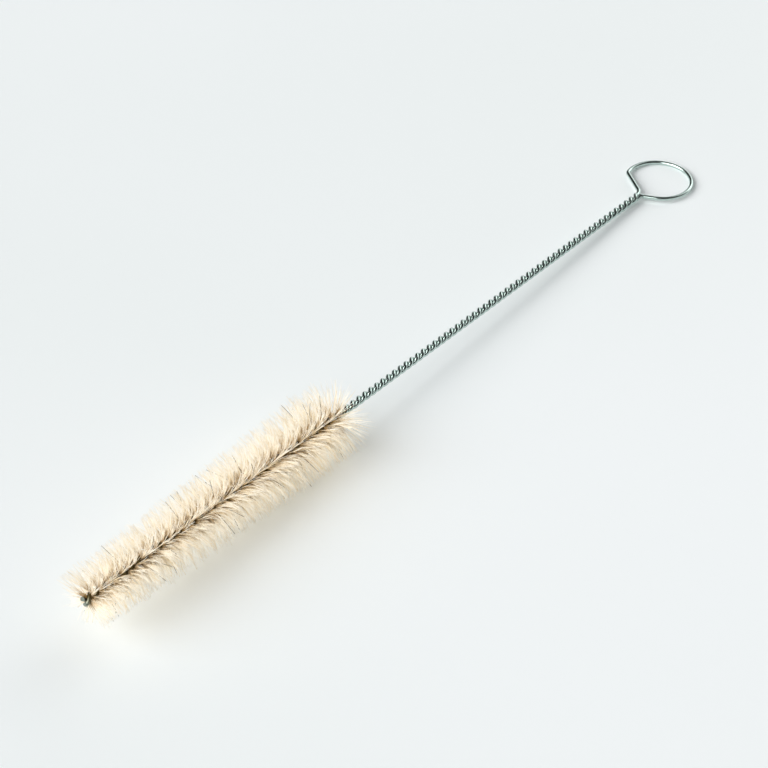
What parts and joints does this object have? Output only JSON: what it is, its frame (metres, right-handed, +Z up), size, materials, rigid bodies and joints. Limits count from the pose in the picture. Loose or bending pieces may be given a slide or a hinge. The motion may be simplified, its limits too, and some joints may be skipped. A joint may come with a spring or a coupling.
{
  "type": "centrifuge tube brush",
  "caption": "Tube-cleaning brush: tapered head of pale natural bristle gripped in twisted steel wire, with a bare twisted stem and a round finger ring.",
  "frame": {"origin": "on the surface that the brush lies on, under the middle of its bounding box", "axes": "+X runs from the brush's tip to its finger ring, +Y across the ring, +Z up from the surface"},
  "size_m": [0.2558, 0.0208, 0.0223],
  "materials": {
    "wire": "gloss",
    "bristle": "matte"
  },
  "bodies": {
    "root": {"twisted_wire": "wire", "bristle_head": "bristle"}
  },
  "joints": []
}
